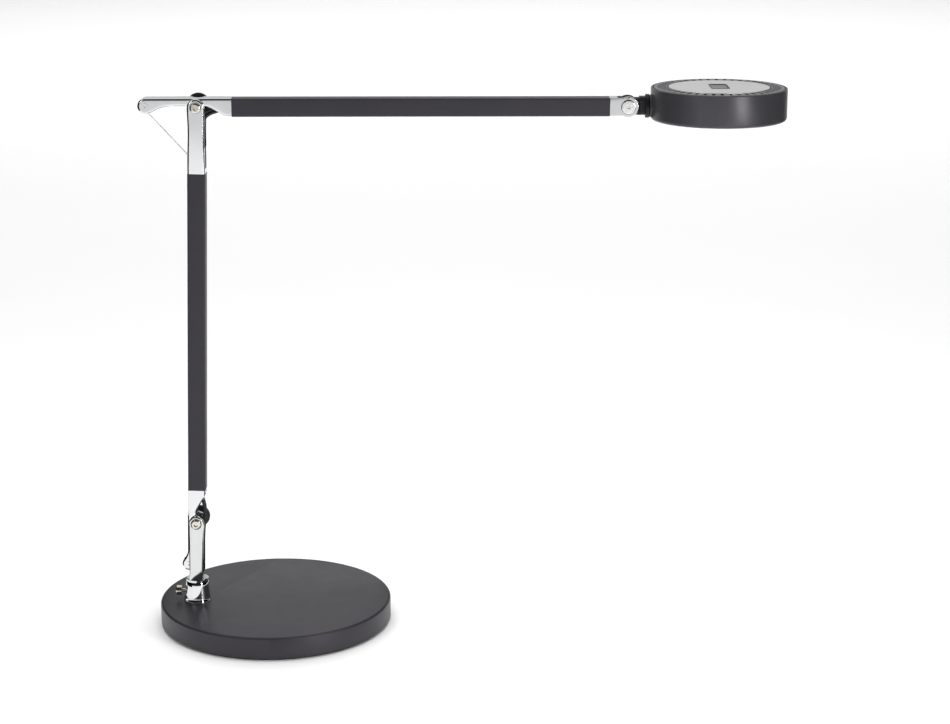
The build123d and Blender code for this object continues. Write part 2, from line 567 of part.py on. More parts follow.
# ================================================================== elbow fork
with BuildPart() as elbow_fork:
    tube_gap = LOWER_TUBE_END - ARM_LOWER
    with BuildSketch(ELBOW_SIDE):
        with BuildLine():
            g1 = Line((tube_gap, 7.5), (tube_gap, -8.0))
            g2 = Spline(g1 @ 1, (-36.0, -7.6), (-16.0, -7.35), (0, -7.6), tangents=[(1, 0), (1, 0)])
            g3 = ThreePointArc(g2 @ 1, (7.6, 0), (0, 7.6))
            Spline(g3 @ 1, (-16.0, 6.95), (-36.0, 7.1), g1 @ 0, tangents=[(-1, 0), (-1, 0)])
        make_face()
    extrude(amount=FW + 1, both=True)
    with BuildSketch(ELBOW_FRONT):
        with BuildLine():
            k1 = Line((-7.8, tube_gap), (7.8, tube_gap))
            k2 = TangentArc(k1 @ 1, (FW, -8), tangent=(0.1225, 0.9925), tangent_from_first=True)
            k3 = Polyline(k2 @ 1, (FW, 9), (-FW, 9), (-FW, -8))
            TangentArc(k3 @ 1, k1 @ 0, tangent=(0, -1))
        make_face()
    extrude(amount=30, both=True, mode=Mode.INTERSECT)
    fillet(outline_edges(elbow_fork, ELBOW_Z + tube_gap), FORK_EDGE)
    with BuildSketch(ELBOW_SIDE):
        with Locations((-35.5, 0)):
            Rectangle(60, 40, align=(Align.MIN, Align.CENTER))
    extrude(amount=EAR_GAP / 2, both=True, mode=Mode.SUBTRACT)
    with BuildSketch(ELBOW_SIDE):
        with Locations((-54.0, 0)):
            Rectangle(20, 40, align=(Align.MIN, Align.CENTER))
    extrude(amount=4.7, both=True, mode=Mode.SUBTRACT)
    with BuildSketch(LOWER_CROSS.offset(LOWER_TUBE_END)):
        RectangleRounded(12.3, 12.3, 0.6)
    extrude(amount=-18)
    with BuildSketch(LOWER_CROSS.offset(LOWER_TUBE_END - 18)):
        RectangleRounded(9.4, 9.4, 0.5)
    extrude(amount=24, mode=Mode.SUBTRACT)
    rod(ELBOW_SIDE, BOLT_R, -30, 60, Mode.SUBTRACT)
    with Locations(Plane(origin=ELBOW_SIDE.from_local_coords((ANCHOR, 0, 0)), x_dir=(1, 0, 0), z_dir=CAM).offset(-7).location):
        Cylinder(1.5, 14, align=BOTTOM, mode=Mode.SUBTRACT)
elbow_fork.part.label = "elbow_fork"

# two stub pins that hold the wire's end saddle
with BuildPart() as wire_anchor_pins:
    anchor_plane = Plane(origin=ELBOW_SIDE.from_local_coords((ANCHOR, 0, 0)), x_dir=(1, 0, 0), z_dir=CAM)
    rod(anchor_plane, 1.5, 2.6, 4.4)
    rod(anchor_plane, 1.5, -7.0, 4.4)
wire_anchor_pins.part.label = "wire_anchor_pins"

# ================================================================== elbow counterbalance wire
wire_dir = (math.cos(math.radians(WIRE_ANGLE)), 0, math.sin(math.radians(WIRE_ANGLE)))
wire_normal = math.radians(WIRE_ANGLE - 90)
tangent_point = UPPER_SIDE.from_local_coords((ROLLER[0] + WIRE_RUN_R * math.cos(wire_normal), ROLLER[1] + WIRE_RUN_R * math.sin(wire_normal), 0))
WIRE_PLANE = Plane(origin=tangent_point, x_dir=(0, 1, 0), z_dir=wire_dir)
with BuildPart() as elbow_wire:
    rod(WIRE_PLANE, 0.5, 0, OUTER_LEN)
    rod(WIRE_PLANE, 0.34, -1, OUTER_LEN + 2, Mode.SUBTRACT)
elbow_wire.part.label = "elbow_wire"
with BuildPart() as elbow_wire_core:
    rod(WIRE_PLANE, 0.3, CORE_REACH - CORE_LEN, CORE_LEN)
elbow_wire_core.part.label = "elbow_wire_core"

# ================================================================== head fork and tilt joint
HEAD_EAR_GAP = 11.0
HEAD_FORK_W = 17.0
HF = HEAD_FORK_W / 2
with BuildPart() as head_fork:
    end = UPPER_TUBE_END - ARM_UPPER
    with BuildSketch(TILT_SIDE):
        with BuildLine():
            Polyline((end, -7.7), (end, 7.7), (-4.6, 7.7), (0, 8.8), (0, -8.8), (-4.6, -7.7), close=True)
        make_face()
        Circle(8.9)
    extrude(amount=HF, both=True)
    fillet(head_fork.faces().sort_by(Axis.Y)[0].edges() + head_fork.faces().sort_by(Axis.Y)[-1].edges(), 0.5)
    with BuildSketch(TILT_SIDE):
        with Locations((-9.2, 0)):
            Rectangle(40, 40, align=(Align.MIN, Align.CENTER))
    extrude(amount=HEAD_EAR_GAP / 2, both=True, mode=Mode.SUBTRACT)
    with BuildSketch(UPPER_CROSS.offset(UPPER_TUBE_END)):
        RectangleRounded(12.3, 12.3, 0.6)
    extrude(amount=-16)
    with BuildSketch(UPPER_CROSS.offset(UPPER_TUBE_END - 16)):
        RectangleRounded(9.0, 9.0, 0.5)
    extrude(amount=26, mode=Mode.SUBTRACT)
    rod(TILT_SIDE, 3.0, -30, 60, Mode.SUBTRACT)
head_fork.part.label = "head_fork"

with BuildPart() as tilt_bolt:
    add(pivot_bolt(TILT_SIDE, HF, 6.35, 1.9, 3.0, 3.4, 1.5, 0.5))
tilt_bolt.part.label = "tilt_bolt"

with BuildPart() as tilt_nut:
    rod(TILT_SIDE, 6.0, -HF - 3.4, 3.4)
    fillet(tilt_nut.edges().filter_by(GeomType.CIRCLE).sort_by(Axis.Y)[-1], 1.2)
    rod(TILT_SIDE, 3.01, -HF - 4, 5, Mode.SUBTRACT)
tilt_nut.part.label = "tilt_nut"

with BuildPart() as tilt_washers:
    add(friction_washers(TILT_SIDE, HEAD_EAR_GAP / 2, 7.0, 3.05, 0.25))
tilt_washers.part.label = "tilt_washers"

# knuckle: hub between the ears, squared neck, ring flange and twist spindle
with BuildPart() as head_knuckle:
    rod(TILT_SIDE, 7.6, -5.2, 10.4)
    with BuildSketch(TILT_CROSS):
        RectangleRounded(10.4, 14.6, 1.2)
    extrude(amount=10.5)
    with BuildSketch(TILT_CROSS.offset(9.9)):
        with Locations((0, 0.5)):
            RectangleRounded(13.0, 15.8, 3.0)
    extrude(amount=5.6)
    rod(TILT_CROSS, 10.3, 15.2, 3.2)
    fillet(head_knuckle.edges().filter_by(GeomType.CIRCLE).group_by(Axis.X)[-1], 0.5)
    rod(TILT_CROSS, 5.0, 18.0, 11.0)
    with BuildSketch(Plane(origin=(TILT_X + 26.6, ARM_Y, TILT_Z), x_dir=(0, 1, 0), z_dir=(1, 0, 0))):
        Circle(6)
        Circle(4.1, mode=Mode.SUBTRACT)
    extrude(amount=1.1, mode=Mode.SUBTRACT)
    rod(TILT_CROSS, 1.7, 12.0, 20.0, Mode.SUBTRACT)
    rod(TILT_SIDE, 3.05, -30, 60, Mode.SUBTRACT)
head_knuckle.part.label = "head_knuckle"

# ================================================================== head
with BuildPart() as neck_collar:
    rod(TILT_CROSS, 9.9, 18.7, 7.6)
    fillet(neck_collar.edges().filter_by(GeomType.CIRCLE).sort_by(Axis.X)[0], 0.8)
    with Locations((HEAD_X, ARM_Y, 0)):
        Cylinder(HEAD_R, 1200, mode=Mode.SUBTRACT)
    # threaded spigot that passes through the housing's wall
    rod(TILT_CROSS, 6.2, 19.6, 6.7)
    rod(TILT_CROSS, 5.05, 10.0, 20.0, Mode.SUBTRACT)
neck_collar.part.label = "neck_collar"

with BuildPart() as neck_circlip:
    rod(TILT_CROSS, 5.9, 26.65, 1.0)
    rod(TILT_CROSS, 4.15, 26.0, 3.0, Mode.SUBTRACT)
neck_circlip.part.label = "neck_circlip"

WALL_IN = 56.0
with BuildPart() as head_housing:
    with BuildSketch(Plane(origin=(HEAD_X, ARM_Y, 0), x_dir=(1, 0, 0), z_dir=CAM)):
        with BuildLine():
            h1 = Line((WALL_IN, HEAD_BOT), (HEAD_R - 3.0, HEAD_BOT))
            h2 = ThreePointArc(h1 @ 1, (HEAD_R - 0.879, HEAD_BOT + 0.879), (HEAD_R, HEAD_BOT + 3.0))
            h3 = Line(h2 @ 1, (HEAD_R, HEAD_TOP - 1.4))
            h4 = ThreePointArc(h3 @ 1, (HEAD_R - 0.264, HEAD_TOP - 0.764), (HEAD_R - 0.9, HEAD_TOP - 0.5))
            h5 = Line(h4 @ 1, (HEAD_R - 1.5, HEAD_TOP - 0.5))
            h6 = Line(h5 @ 1, (HEAD_R - 1.5, HEAD_TOP - 4.3))
            h7 = Line(h6 @ 1, (54.4, HEAD_TOP - 4.3))
            h8 = Line(h7 @ 1, (54.4, HEAD_TOP - 5.8))
            h9 = Line(h8 @ 1, (WALL_IN, HEAD_TOP - 5.8))
            Line(h9 @ 1, h1 @ 0)
        make_face()
    revolve(axis=HEAD_AXIS)
    rod(TILT_CROSS, 6.25, 10, 20, Mode.SUBTRACT)
head_housing.part.label = "head_housing"

with BuildPart() as vent_ring:
    with BuildSketch(Plane(origin=(HEAD_X, ARM_Y, 0), x_dir=(1, 0, 0), z_dir=CAM)):
        with BuildLine():
            Polyline(
                (38.0, HEAD_TOP - 3.4), (38.0, HEAD_TOP - 1.8), (PLATE_R + 0.8, HEAD_TOP - 1.8), (PLATE_R + 0.8, HEAD_TOP - 0.6),
                (PLATE_R + 1.1, HEAD_TOP - 0.3), (56.8, HEAD_TOP - 0.4), (57.1, HEAD_TOP - 0.7), (57.1, HEAD_TOP - 2.6), (57.75, HEAD_TOP - 2.6), (57.75, HEAD_TOP - 4.3), (53.8, HEAD_TOP - 4.3), (53.8, HEAD_TOP - 3.4), close=True,
            )
        make_face()
    revolve(axis=HEAD_AXIS)
    with BuildSketch(Plane((HEAD_X, ARM_Y, HEAD_TOP + 2))):
        with PolarLocations(50.0, VENTS, start_angle=4.5):
            SlotOverall(8.4, 2.8)
    extrude(amount=-5.41, mode=Mode.SUBTRACT)
vent_ring.part.label = "vent_ring"

SWITCH_Y = ARM_Y + 1.2
with BuildPart() as top_plate:
    rod(Plane((HEAD_X, ARM_Y, 0)), PLATE_R, HEAD_TOP - 1.8, 1.8)
    fillet(top_plate.edges().filter_by(GeomType.CIRCLE).group_by(Axis.Z)[-1], 0.4)
    with BuildSketch(Plane((HEAD_X, SWITCH_Y, HEAD_TOP + 1))):
        RectangleRounded(16.4, 30.0, 3.0)
    extrude(amount=-6, mode=Mode.SUBTRACT)
top_plate.part.label = "top_plate"

with BuildPart() as switch_body:
    with BuildSketch(Plane((HEAD_X, SWITCH_Y, HEAD_TOP - 12.0))):
        RectangleRounded(16.4, 30.0, 3.0)
    extrude(amount=12.3)
    with BuildSketch(Plane((HEAD_X, SWITCH_Y, HEAD_TOP - 4.6))):
        RectangleRounded(13.8, 27.4, 2.2)
    extrude(amount=8, mode=Mode.SUBTRACT)
switch_body.part.label = "switch_body"

with BuildPart() as switch_button:
    with BuildSketch(Plane((HEAD_X, SWITCH_Y, HEAD_TOP - 3.0))):
        RectangleRounded(13.4, 27.0, 2.0)
    extrude(amount=2.7)
    with Locations((HEAD_X, SWITCH_Y + 5.0, HEAD_TOP + 13.3)):
        Sphere(14.9, mode=Mode.SUBTRACT)
switch_button.part.label = "switch_button"

with BuildPart() as heat_sink:
    with BuildSketch(Plane((HEAD_X, ARM_Y, HEAD_BOT + 5.6))):
        Circle(WALL_IN)
        with Locations((-52, 0)):
            Rectangle(20, 20, mode=Mode.SUBTRACT)
    extrude(amount=3.2)
    # blind holes for the board screws
    with Locations((HEAD_X, ARM_Y, HEAD_BOT + 5.6)):
        with PolarLocations(46.5, 4, start_angle=37):
            Cylinder(1.5, 2.7, align=BOTTOM, mode=Mode.SUBTRACT)
    # fins, shorter round the switch and above the neck's circlip
    with BuildSketch(Plane((HEAD_X, ARM_Y, HEAD_BOT + 8.8))):
        for i in range(-5, 7):
            fin_x = 8.0 * i
            reach = math.sqrt(52.0**2 - (abs(fin_x) + 0.7) ** 2)
            inner = 18.5 if abs(i) < 2 else (12.0 if i < -4 else 0)
            if inner:
                with Locations((fin_x, (inner + reach) / 2), (fin_x, -(inner + reach) / 2)):
                    Rectangle(1.4, reach - inner)
            else:
                with Locations((fin_x, 0)):
                    Rectangle(1.4, 2 * reach)
    extrude(amount=11.0)
heat_sink.part.label = "heat_sink"

with BuildPart() as led_board:
    rod(Plane((HEAD_X, ARM_Y, 0)), 53.0, HEAD_BOT + 4.2, 1.4)
    with Locations((HEAD_X, ARM_Y, HEAD_BOT + 4.2)):
        with PolarLocations(46.5, 4, start_angle=37):
            Cylinder(1.6, 1.4, align=BOTTOM, mode=Mode.SUBTRACT)
led_board.part.label = "led_board"

with BuildPart() as led_chips:
    with Locations((HEAD_X, ARM_Y, HEAD_BOT + 3.6)):
        with PolarLocations(36, 18):
            Box(3.2, 3.2, 0.6, align=BOTTOM)
        with PolarLocations(20, 9):
            Box(3.2, 3.2, 0.6, align=BOTTOM)
led_chips.part.label = "led_chips"

with BuildPart() as board_screws:
    with Locations((HEAD_X, ARM_Y, 0)):
        with PolarLocations(46.5, 4, start_angle=37):
            with Locations((0, 0, HEAD_BOT + 3.3)):
                Cylinder(2.7, 0.9, align=BOTTOM)
            with Locations((0, 0, HEAD_BOT + 4.2)):
                Cylinder(1.45, 4.0, align=BOTTOM)
board_screws.part.label = "board_screws"

with BuildPart() as diffuser:
    rod(Plane((HEAD_X, ARM_Y, 0)), 54.0, HEAD_BOT + 1.2, 1.8)
diffuser.part.label = "diffuser"

with BuildPart() as diffuser_bezel:
    with BuildSketch(Plane(origin=(HEAD_X, ARM_Y, 0), x_dir=(1, 0, 0), z_dir=CAM)):
        with BuildLine():
            Polyline((52.2, HEAD_BOT + 0.3), (WALL_IN, HEAD_BOT + 0.3), (WALL_IN, HEAD_BOT + 4.0), (54.0, HEAD_BOT + 4.0), (54.0, HEAD_BOT + 1.2), (52.2, HEAD_BOT + 1.2), close=True)
        make_face()
    revolve(axis=HEAD_AXIS)
diffuser_bezel.part.label = "diffuser_bezel"

# ------------------------------------------------------------------ export
for piece in (
    base_pad, base_plate, base_cover, base_weight, base_screws, power_inlet, inlet_pin, base_lead,
    post_collar, swivel_bush, collar_nut, collar_thumbscrew,
    swivel_post, post_retainer, shoulder_bolt, shoulder_washers, shoulder_knob,
    lower_arm_fitting, lower_roller, lower_roller_axle, lower_tube, lower_spring, lower_inner_wire, lower_lead,
    shoulder_wire, shoulder_lead,
    elbow_fork, wire_anchor_pins, elbow_bolt, elbow_washers, elbow_knob,
    upper_arm_fitting, upper_roller, upper_roller_axle, upper_tube, upper_spring, upper_inner_wire, upper_lead,
    elbow_lead, elbow_wire, elbow_wire_core,
    head_fork, tilt_bolt, tilt_nut, tilt_washers, head_knuckle,
    neck_collar, neck_circlip, head_housing, vent_ring, top_plate, switch_body, switch_button,
    heat_sink, led_board, led_chips, board_screws, diffuser, diffuser_bezel,
):
    export_step(piece.part, "parts/" + piece.part.label + ".step")
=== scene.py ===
"""Looks of a balance-arm desk lamp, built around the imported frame. Metres, +Z up."""

import math

import bpy
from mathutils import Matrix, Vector
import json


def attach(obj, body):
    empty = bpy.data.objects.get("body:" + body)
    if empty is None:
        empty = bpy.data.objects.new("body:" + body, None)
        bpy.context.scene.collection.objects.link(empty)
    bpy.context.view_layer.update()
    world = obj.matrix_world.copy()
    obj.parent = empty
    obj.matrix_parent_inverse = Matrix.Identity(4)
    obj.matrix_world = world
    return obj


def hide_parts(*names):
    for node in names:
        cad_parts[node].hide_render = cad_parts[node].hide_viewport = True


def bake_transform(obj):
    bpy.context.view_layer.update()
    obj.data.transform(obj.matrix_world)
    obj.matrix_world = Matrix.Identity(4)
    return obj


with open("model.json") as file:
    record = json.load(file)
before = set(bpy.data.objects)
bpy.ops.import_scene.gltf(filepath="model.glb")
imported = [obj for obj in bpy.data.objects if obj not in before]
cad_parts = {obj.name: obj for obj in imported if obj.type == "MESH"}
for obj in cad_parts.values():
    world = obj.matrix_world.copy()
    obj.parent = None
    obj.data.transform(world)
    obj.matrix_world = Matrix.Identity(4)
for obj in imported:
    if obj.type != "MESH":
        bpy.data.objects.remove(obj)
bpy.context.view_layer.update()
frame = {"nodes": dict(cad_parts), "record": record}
nodes = frame["nodes"]

# ------------------------------------------------------------------ places shared with the frame
LEAN = math.radians(1.672)
SHOULDER = Vector((-0.0696, -0.0067, 0.0973))
ELBOW = Vector((-0.0696 + 0.3789 * math.sin(LEAN), -0.0067, 0.0973 + 0.3789 * math.cos(LEAN)))
LOWER_DIR = Vector((math.sin(LEAN), 0, math.cos(LEAN)))
ROLLER = ELBOW + Vector((-0.0437, 0, 0.0011))
WIRE_ANGLE = math.radians(-47.73)
WIRE_DIR = Vector((math.cos(WIRE_ANGLE), 0, math.sin(WIRE_ANGLE)))
WIRE_RUN = 0.0035


def upper(x, y, h=0.0):
    """A point given along the upper arm, up from it, and towards the camera side, in mm."""
    return ELBOW + Vector((x, -h, y)) / 1000


def post(x, y, h=0.0):
    """A point given up the post from the shoulder, towards -X, and towards the camera side, in mm."""
    return SHOULDER + Vector((-y, -h, x)) / 1000


def lower(x, y, h=0.0):
    """A point given along the lower arm from the shoulder, towards -X, and towards the camera side, in mm."""
    across = Vector((-math.cos(LEAN), 0, math.sin(LEAN)))
    return SHOULDER + (LOWER_DIR * x + across * y + Vector((0, -h, 0))) / 1000


# ------------------------------------------------------------------ material tools
def start(name):
    mat = bpy.data.materials.new(name)
    mat.use_nodes = True
    tree = mat.node_tree
    tree.nodes.clear()
    out = tree.nodes.new("ShaderNodeOutputMaterial")
    bsdf = tree.nodes.new("ShaderNodeBsdfPrincipled")
    tree.links.new(bsdf.outputs[0], out.inputs[0])
    coord = tree.nodes.new("ShaderNodeTexCoord")
    return mat, tree, bsdf, coord.outputs["Object"]


def noise(tree, vector, scale, detail=3.0, rough=0.55, stretch=None):
    if stretch:
        mapping = tree.nodes.new("ShaderNodeMapping")
        mapping.inputs["Scale"].default_value = stretch
        tree.links.new(vector, mapping.inputs["Vector"])
        vector = mapping.outputs[0]
    tex = tree.nodes.new("ShaderNodeTexNoise")
    tex.inputs["Scale"].default_value = scale
    tex.inputs["Detail"].default_value = detail
    tex.inputs["Roughness"].default_value = rough
    tree.links.new(vector, tex.inputs["Vector"])
    return tex.outputs["Fac"]


def spread(tree, value, low, high, from_low=0.3, from_high=0.7):
    node = tree.nodes.new("ShaderNodeMapRange")
    node.inputs["From Min"].default_value = from_low
    node.inputs["From Max"].default_value = from_high
    node.inputs["To Min"].default_value = low
    node.inputs["To Max"].default_value = high
    tree.links.new(value, node.inputs["Value"])
    return node.outputs["Result"]


def two_tone(tree, value, first, second):
    ramp = tree.nodes.new("ShaderNodeValToRGB")
    ramp.color_ramp.elements[0].position = 0.35
    ramp.color_ramp.elements[0].color = (*first, 1)
    ramp.color_ramp.elements[1].position = 0.65
    ramp.color_ramp.elements[1].color = (*second, 1)
    tree.links.new(value, ramp.inputs["Fac"])
    return ramp.outputs["Color"]


def bump(tree, bsdf, height, distance, strength):
    node = tree.nodes.new("ShaderNodeBump")
    node.inputs["Strength"].default_value = strength
    node.inputs["Distance"].default_value = distance
    tree.links.new(height, node.inputs["Height"])
    tree.links.new(node.outputs[0], bsdf.inputs["Normal"])


def surface(name, colour, rough, metallic=0.0, vary=0.08, rough_vary=0.05, patch=40, grain=2600, grain_depth=0.00002,
            grain_strength=0.25, stretch=None, specular=None, coat=None, tint=None, painted_cavity_shade=None, painted_flank_shade=None):
    """A material with patchy colour and roughness and a fine grain bump, optionally with painted shade on a turned
    head's flank or in recesses.
    """
    mat, tree, bsdf, where = start(name)
    patches = noise(tree, where, patch, 4.0)
    dim = tuple(c * (1 - vary) for c in colour)
    lit = tuple(min(1.0, c * (1 + vary)) for c in colour)
    tree.links.new(two_tone(tree, patches, dim, lit), bsdf.inputs["Base Color"])
    smears = noise(tree, where, patch * 2.3, 5.0, 0.6, stretch)
    tree.links.new(spread(tree, smears, max(0.02, rough - rough_vary), rough + rough_vary), bsdf.inputs["Roughness"])
    bsdf.inputs["Metallic"].default_value = metallic
    if specular is not None:
        bsdf.inputs["Specular IOR Level"].default_value = specular
    if painted_flank_shade:
        # painted shade: the flank of a turned head, found by its normal in its own coordinates, is painted darker
        # than its face, standing in for the shade and dark reflection it catches
        local = tree.nodes.new("ShaderNodeTexCoord")
        split = tree.nodes.new("ShaderNodeSeparateXYZ")
        tree.links.new(local.outputs["Normal"], split.inputs[0])
        size = tree.nodes.new("ShaderNodeMath")
        size.operation = "ABSOLUTE"
        tree.links.new(split.outputs["Y"], size.inputs[0])
        mix = tree.nodes.new("ShaderNodeMix")
        mix.data_type = "RGBA"
        mix.inputs["A"].default_value = (0.06, 0.058, 0.054, 1)
        tree.links.new(bsdf.inputs["Base Color"].links[0].from_socket, mix.inputs["B"])
        tree.links.new(spread(tree, size.outputs[0], 0.0, 1.0, painted_flank_shade[0], painted_flank_shade[1]), mix.inputs["Factor"])
        tree.links.new(mix.outputs["Result"], bsdf.inputs["Base Color"])
    if painted_cavity_shade:
        # painted shade: ambient occlusion darkens the base colour towards black in recesses such as the vent slots,
        # and roughens them
        shade = tree.nodes.new("ShaderNodeAmbientOcclusion")
        shade.samples = 8
        shade.inputs["Distance"].default_value = painted_cavity_shade
        mix = tree.nodes.new("ShaderNodeMix")
        mix.data_type = "RGBA"
        mix.inputs["A"].default_value = (0.002, 0.002, 0.002, 1)
        tree.links.new(bsdf.inputs["Base Color"].links[0].from_socket, mix.inputs["B"])
        opened = spread(tree, shade.outputs["AO"], 0.0, 1.0, 0.72, 0.96)
        tree.links.new(opened, mix.inputs["Factor"])
        tree.links.new(mix.outputs["Result"], bsdf.inputs["Base Color"])
        duller = tree.nodes.new("ShaderNodeMapRange")
        duller.inputs["To Min"].default_value = 1.0
        tree.links.new(opened, duller.inputs["Value"])
        tree.links.new(bsdf.inputs["Roughness"].links[0].from_socket, duller.inputs["To Max"])
        tree.links.new(duller.outputs["Result"], bsdf.inputs["Roughness"])
    if tint:
        bsdf.inputs["Specular Tint"].default_value = (*tint, 1)
    if coat:
        bsdf.inputs["Coat Weight"].default_value = coat[0]
        bsdf.inputs["Coat Roughness"].default_value = coat[1]
    if grain_strength:
        bump(tree, bsdf, noise(tree, where, grain, 2.0, 0.5, stretch), grain_depth, grain_strength)
    return mat


BLACK_TINT = (1.0, 0.96, 1.06)
M = {}
M["tube_black"] = surface("satin_black_powder", (0.0188, 0.0178, 0.0213), 0.44, tint=BLACK_TINT, vary=0.06, rough_vary=0.03, grain=1800, grain_depth=0.00003, grain_strength=0.35)
M["base_black"] = surface("base_powder_coat", (0.0215, 0.0202, 0.0242), 0.42, specular=0.47, tint=BLACK_TINT, vary=0.06, rough_vary=0.03, patch=14, grain=1500, grain_depth=0.00003, grain_strength=0.35)
M["head_grey"] = surface("head_satin_grey", (0.0345, 0.0335, 0.0375), 0.36, tint=BLACK_TINT, vary=0.05, rough_vary=0.03, patch=30, grain=1900, grain_depth=0.00002, grain_strength=0.25)
# painted shade blackens the vent slots of this ring
M["vent_grey"] = surface("vent_ring_grey", (0.086, 0.0845, 0.0895), 0.38, painted_cavity_shade=0.006, tint=BLACK_TINT, vary=0.06, rough_vary=0.04, patch=50, grain=2200, grain_depth=0.00002, grain_strength=0.25)
M["chrome"] = surface("polished_chrome", (0.745, 0.755, 0.765), 0.055, metallic=1.0, vary=0.02, rough_vary=0.02, patch=60, grain=260, grain_depth=0.00004, grain_strength=0.05)
M["nickel"] = surface("warm_nickel", (0.70, 0.665, 0.575), 0.20, metallic=1.0, vary=0.06, rough_vary=0.06, patch=260, grain=1800, grain_depth=0.00003, grain_strength=0.2)
# painted shade and dark reflection on the flank of the tilt bolt head
M["tilt_bolt_silver"] = surface("turned_silver_head", (0.95, 0.945, 0.93), 0.24, painted_flank_shade=(0.75, 0.97), metallic=1.0, vary=0.04, rough_vary=0.06, patch=300, grain=1600, grain_depth=0.00003, grain_strength=0.25)
M["knob_black"] = surface("knob_black_plastic", (0.009, 0.009, 0.010), 0.30, specular=0.34, vary=0.15, rough_vary=0.06, patch=120, grain=1600, grain_depth=0.00002, grain_strength=0.3)
M["plate_silver"] = surface("satin_anodised_plate", (0.84, 0.835, 0.835), 0.36, metallic=1.0, vary=0.015, rough_vary=0.04, patch=30, grain=2400, grain_depth=0.00002, grain_strength=0.3)
M["switch_silver"] = surface("switch_grey", (0.24, 0.24, 0.24), 0.34, metallic=0.85, vary=0.04, rough_vary=0.05, patch=120, grain=2400, grain_depth=0.00002, grain_strength=0.2)
M["rubber_pad"] = surface("rubber_pad", (0.018, 0.018, 0.018), 0.75, vary=0.12, rough_vary=0.08, patch=90, grain=900, grain_depth=0.0001, grain_strength=0.5)
M["inner_steel"] = surface("zinc_steel", (0.62, 0.63, 0.65), 0.34, metallic=1.0, vary=0.07, rough_vary=0.08, patch=90, grain=900, grain_depth=0.00004, grain_strength=0.3)
M["cast_weight"] = surface("cast_iron_raw", (0.09, 0.085, 0.08), 0.7, metallic=0.6, vary=0.25, rough_vary=0.12, patch=45, grain=420, grain_depth=0.0003, grain_strength=0.6)
M["black_plastic"] = surface("moulded_black_plastic", (0.02, 0.02, 0.021), 0.45, vary=0.12, rough_vary=0.06, patch=160, grain=1500, grain_depth=0.00005, grain_strength=0.35)
M["lead_black"] = surface("lead_sheath", (0.012, 0.012, 0.0125), 0.5, vary=0.15, rough_vary=0.06, patch=220, grain=1300, grain_depth=0.00005, grain_strength=0.4)
M["bush_nylon"] = surface("natural_nylon", (0.72, 0.71, 0.66), 0.42, vary=0.03, rough_vary=0.05, patch=200, grain=1500, grain_depth=0.00003, grain_strength=0.25)
M["spring_steel"] = surface("spring_wire", (0.45, 0.45, 0.47), 0.3, metallic=1.0, vary=0.1, rough_vary=0.08, patch=140, grain=1400, grain_depth=0.00003, grain_strength=0.3)
M["wire_steel"] = surface("twisted_wire", (0.78, 0.77, 0.74), 0.28, metallic=1.0, vary=0.08, rough_vary=0.06, patch=400, grain=2200, grain_depth=0.00002, grain_strength=0.2)
# painted shade and dark reflection on the flank of the pivot screw heads
M["pivot_bolt_nickel"] = surface("pivot_screw_nickel", (0.72, 0.685, 0.60), 0.20, metallic=1.0, painted_flank_shade=(0.35, 0.72), vary=0.10, rough_vary=0.06, patch=420, grain=1800, grain_depth=0.00003, grain_strength=0.2)
M["switch_rim"] = surface("switch_dark_rim", (0.030, 0.030, 0.032), 0.35, vary=0.08, rough_vary=0.05, patch=120, grain=2400, grain_depth=0.00002, grain_strength=0.2)
M["heat_sink"] = surface("black_anodised_sink", (0.014, 0.014, 0.015), 0.5, metallic=0.0, vary=0.1, rough_vary=0.08, patch=80, grain=1200, grain_depth=0.00003, grain_strength=0.3)
M["board_white"] = surface("solder_mask_white", (0.80, 0.81, 0.80), 0.35, vary=0.03, rough_vary=0.05, patch=120, grain=1400, grain_depth=0.00002, grain_strength=0.2)
M["led_yellow"] = surface("phosphor_dots", (0.82, 0.66, 0.16), 0.4, vary=0.08, rough_vary=0.06, patch=500, grain=2400, grain_depth=0.00002, grain_strength=0.2)
M["diffuser_white"] = surface("opal_diffuser", (0.84, 0.84, 0.82), 0.45, vary=0.015, rough_vary=0.05, patch=40, grain=1600, grain_depth=0.00003, grain_strength=0.3)

M["knuckle_black"] = surface("knuckle_satin_black", (0.0080, 0.0077, 0.0090), 0.45, specular=0.29, tint=BLACK_TINT, vary=0.06, rough_vary=0.03, patch=60, grain=1900, grain_depth=0.00002, grain_strength=0.3)

OWN = {"tilt_bolt": "tilt_bolt_silver", "head_knuckle": "knuckle_black", "switch_body": "switch_rim", "swivel_post": "post_chrome", "shoulder_bolt": "pivot_bolt_nickel", "elbow_bolt": "pivot_bolt_nickel", "upper_roller_axle": "chrome", "lower_roller_axle": "chrome"}
M["post_chrome"] = surface("post_polished_chrome", (0.67, 0.68, 0.68), 0.055, metallic=1.0, vary=0.02, rough_vary=0.02, patch=60, grain=260, grain_depth=0.00004, grain_strength=0.05)
slots = {row["node"]: row["material_slot"] for row in frame["record"]["subparts"]}
for name, obj in nodes.items():
    mat = M[OWN.get(name, slots[name])]
    if not obj.material_slots:
        obj.data.materials.append(mat)
    for s in obj.material_slots:
        s.material = mat
    for p in obj.data.polygons:
        p.use_smooth = True
    weld = obj.modifiers.new("weld", "WELD")
    weld.merge_threshold = 1e-6
    split = obj.modifiers.new("split", "EDGE_SPLIT")
    split.split_angle = math.radians(32)
    split.use_edge_sharp = False


